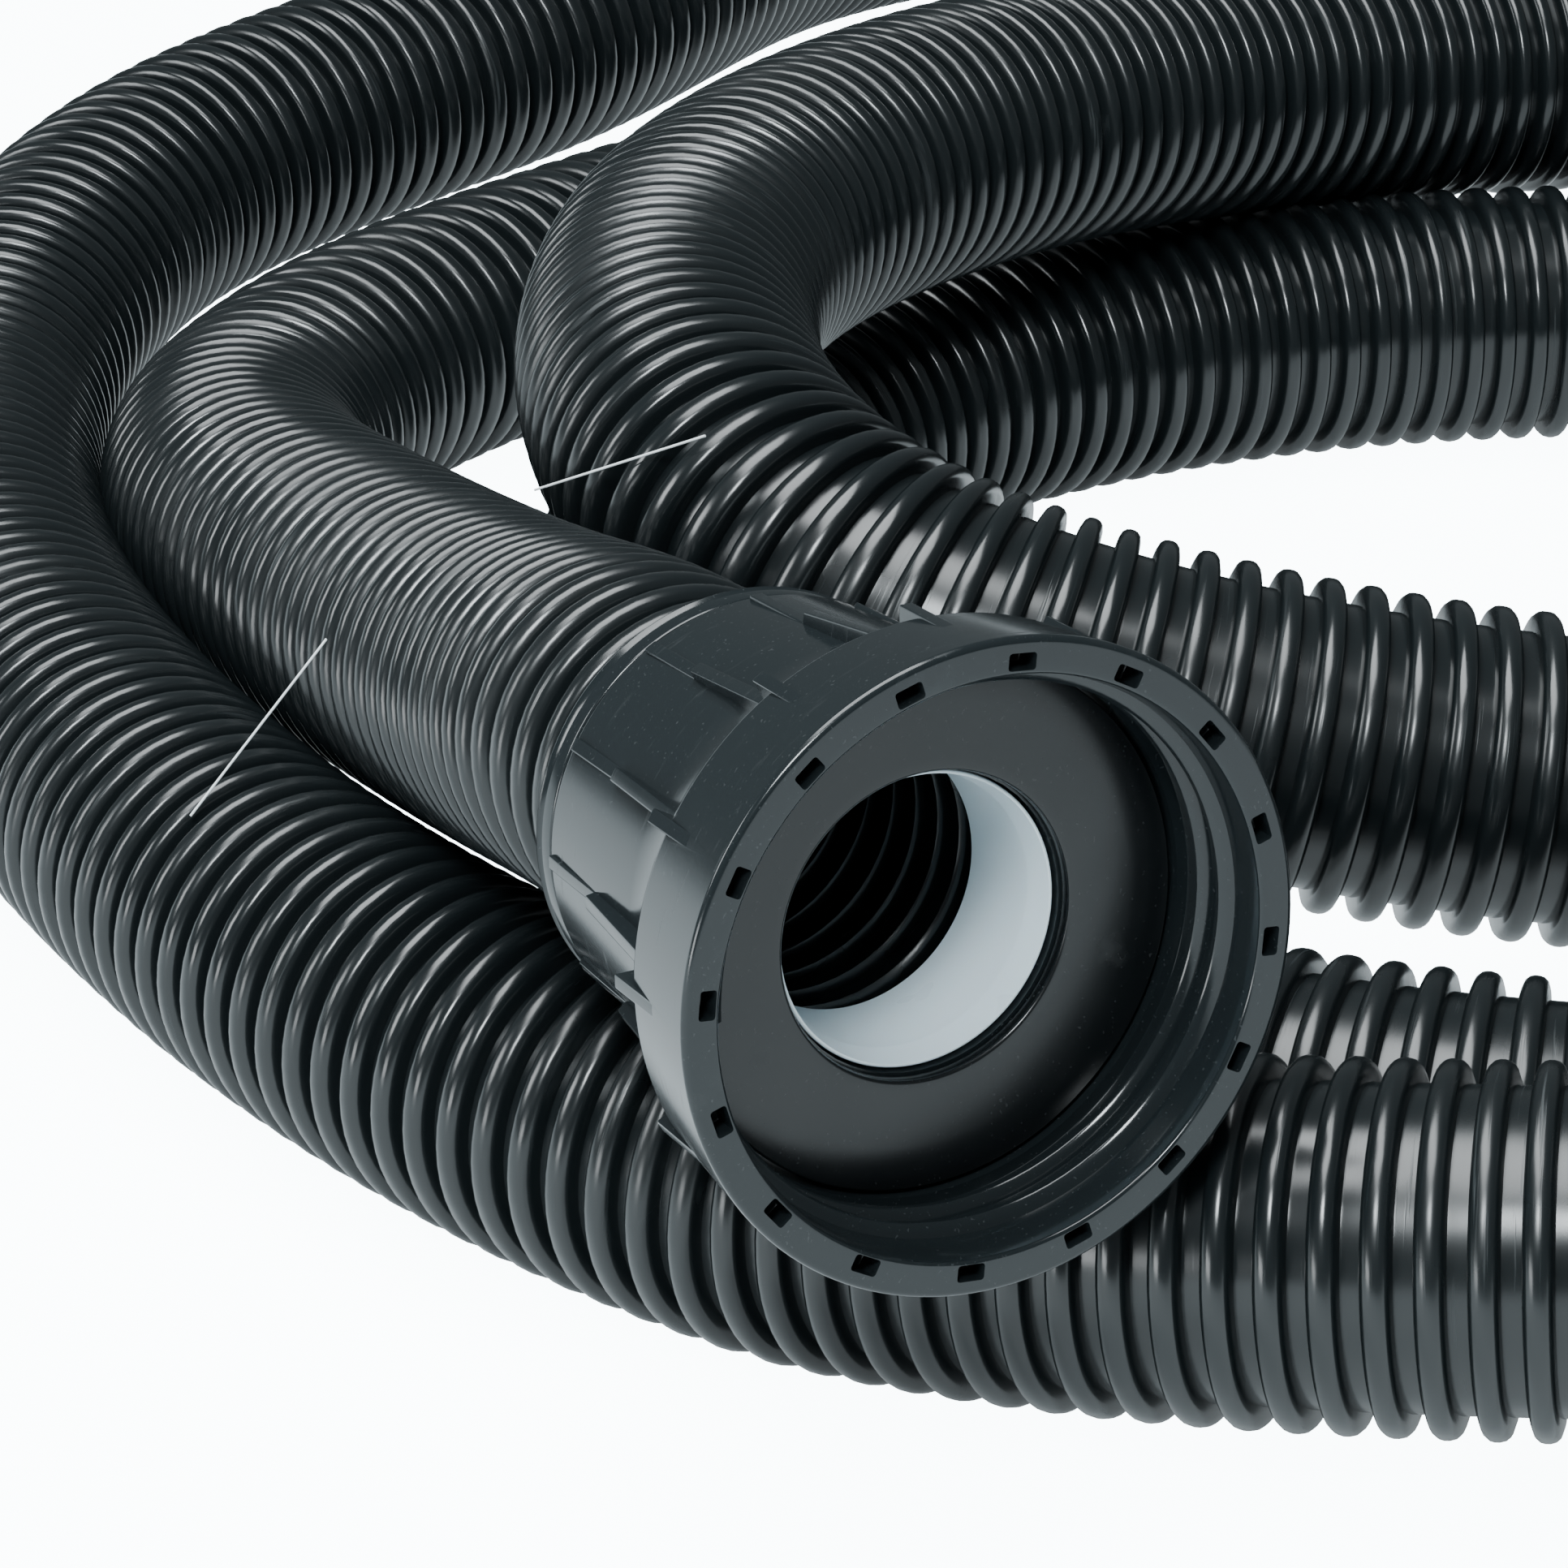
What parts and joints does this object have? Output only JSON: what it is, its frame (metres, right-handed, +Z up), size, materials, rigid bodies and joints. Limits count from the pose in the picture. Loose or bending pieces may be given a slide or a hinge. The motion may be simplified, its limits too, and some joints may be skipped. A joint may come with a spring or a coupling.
{
  "type": "pool vacuum hose",
  "caption": "Coiled black corrugated pool vacuum hose with a spinning threaded union nut at each end",
  "frame": {"origin": "on the floor, under the middle of the bounding box of the whole coil", "axes": "+Z is up from the floor; +Y is the level direction in which the near union's axis runs into its hose, so both open nuts face -Y; +X is to the right when facing +Y"},
  "size_m": [0.645, 0.7171, 0.1131],
  "materials": {
    "hose_plastic": "extruded corrugated polyethylene, glossy near-black with fine scuffs on the crests",
    "moulded_plastic": "injection-moulded plastic, satin dark grey with fine scratches",
    "liner_plastic": "smooth white plastic, slightly bluish",
    "seal_rubber": "smooth dark rubber",
    "clear_thread": "clear nylon thread"
  },
  "bodies": {
    "root": {"hose": "hose_plastic", "near_hose_tail": "moulded_plastic", "near_lock_collar": "moulded_plastic", "near_inner_bush": "liner_plastic", "near_sealing_washer": "seal_rubber", "near_end_seal": "seal_rubber", "far_hose_tail": "moulded_plastic", "far_lock_collar": "moulded_plastic", "far_inner_bush": "liner_plastic", "far_sealing_washer": "seal_rubber", "far_end_seal": "seal_rubber", "thread_tie_1": "clear_thread", "thread_tie_2": "clear_thread"},
    "near_nut": {"near_union_nut": "moulded_plastic"},
    "far_nut": {"far_union_nut": "moulded_plastic"}
  },
  "joints": [
    {"name": "near_nut_spin", "type": "hinge", "parent": "root", "child": "near_nut", "pos_m": [-0.2796, -0.2324, 0.0752], "axis": [0, 0.9988, -0.0494], "continuous": true},
    {"name": "far_nut_spin", "type": "hinge", "parent": "root", "child": "far_nut", "pos_m": [0.2844, -0.234, 0.038], "axis": [0, 1, 0], "continuous": true}
  ]
}
